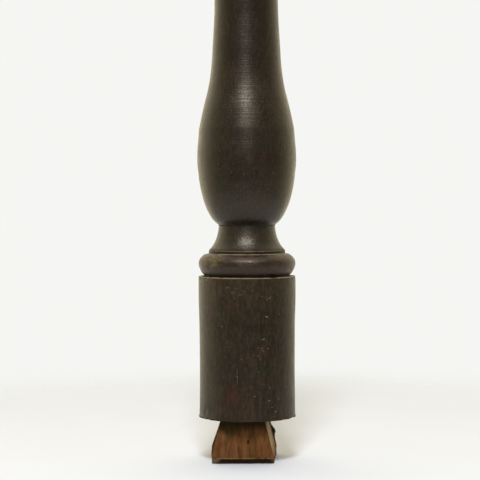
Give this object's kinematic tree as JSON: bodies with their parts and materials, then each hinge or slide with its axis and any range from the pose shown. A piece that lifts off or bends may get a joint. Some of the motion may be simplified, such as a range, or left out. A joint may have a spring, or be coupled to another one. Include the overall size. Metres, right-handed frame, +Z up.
{
  "type": "stair baluster",
  "caption": "Turned wooden stair baluster with a dovetail tenon, round base, vase, collar, tapered shaft and a round top pin.",
  "frame": {"origin": "on the turning's axis, in the plane of the shoulder that rests on the stair tread", "axes": "+Z up the turning's axis, -Y towards the front face of the dovetail, +X to the right"},
  "size_m": [0.046, 0.0458, 0.711],
  "materials": {
    "turned_wood": "dark stained and worn, satin, with raw brown wood on the tenon",
    "brad_iron": "rusted"
  },
  "bodies": {
    "root": {"turned_baluster": "turned_wood", "tread_brad": "brad_iron"}
  },
  "joints": []
}
